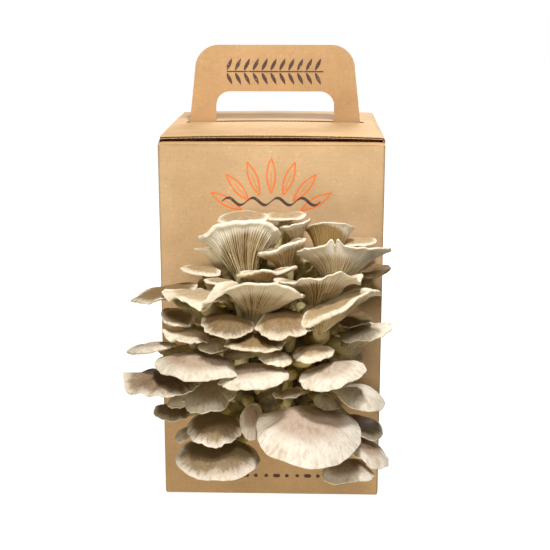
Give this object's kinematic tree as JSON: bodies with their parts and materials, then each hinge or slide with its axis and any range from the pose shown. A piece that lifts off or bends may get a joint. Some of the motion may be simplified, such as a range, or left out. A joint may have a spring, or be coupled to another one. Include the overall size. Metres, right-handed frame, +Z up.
{
  "type": "oyster mushroom grow kit",
  "caption": "Upright kraft carry carton with a flat lid and folded handle, with a dense cluster of oyster mushrooms growing out of its front window.",
  "frame": {"origin": "middle of the carton's underside, on the surface it stands on", "axes": "+Z up, -Y out of the front with the mushrooms, +X to the viewer's right"},
  "size_m": [0.1914, 0.295, 0.339],
  "materials": {
    "carton_board": "matte",
    "handle_board": "matte",
    "lid_board": "matte",
    "bag_film": "satin",
    "stem_flesh": "matte",
    "white_gilled_flesh": "matte",
    "cream_flesh": "matte",
    "pink_grey_flesh": "matte",
    "grey_flesh": "matte"
  },
  "bodies": {
    "root": {"carton": "carton_board", "front_handle_flap": "handle_board", "back_handle_flap": "handle_board", "inner_lid_flap": "lid_board", "outer_lid_flap": "lid_board", "grow_block": "bag_film", "cluster_base": "stem_flesh", "top_mushroom_1": "white_gilled_flesh", "top_mushroom_2": "white_gilled_flesh", "top_mushroom_3": "white_gilled_flesh", "top_mushroom_4": "white_gilled_flesh", "top_mushroom_5": "white_gilled_flesh", "top_mushroom_6": "white_gilled_flesh", "top_mushroom_7": "white_gilled_flesh", "top_mushroom_8": "white_gilled_flesh", "top_mushroom_9": "white_gilled_flesh", "top_mushroom_10": "white_gilled_flesh", "upper_mushroom_1": "cream_flesh", "upper_mushroom_2": "cream_flesh", "upper_mushroom_3": "cream_flesh", "upper_mushroom_4": "cream_flesh", "upper_mushroom_5": "cream_flesh", "upper_mushroom_6": "cream_flesh", "upper_mushroom_7": "cream_flesh", "upper_mushroom_8": "cream_flesh", "upper_mushroom_9": "cream_flesh", "upper_mushroom_10": "cream_flesh", "upper_mushroom_11": "cream_flesh", "upper_mushroom_12": "cream_flesh", "upper_mushroom_13": "cream_flesh", "upper_mushroom_14": "cream_flesh", "upper_mushroom_15": "cream_flesh", "upper_mushroom_16": "cream_flesh", "upper_mushroom_17": "cream_flesh", "upper_mushroom_18": "cream_flesh", "upper_mushroom_19": "cream_flesh", "upper_mushroom_20": "cream_flesh", "middle_mushroom_1": "pink_grey_flesh", "middle_mushroom_2": "pink_grey_flesh", "middle_mushroom_3": "pink_grey_flesh", "middle_mushroom_4": "pink_grey_flesh", "middle_mushroom_5": "pink_grey_flesh", "middle_mushroom_6": "pink_grey_flesh", "middle_mushroom_7": "pink_grey_flesh", "middle_mushroom_8": "pink_grey_flesh", "middle_mushroom_9": "pink_grey_flesh", "middle_mushroom_10": "pink_grey_flesh", "bottom_mushroom_1": "grey_flesh", "bottom_mushroom_2": "grey_flesh", "bottom_mushroom_3": "grey_flesh", "bottom_mushroom_4": "grey_flesh", "bottom_mushroom_5": "grey_flesh", "bottom_mushroom_6": "grey_flesh", "bottom_mushroom_7": "grey_flesh", "bottom_mushroom_8": "grey_flesh", "bottom_mushroom_9": "grey_flesh"}
  },
  "joints": []
}
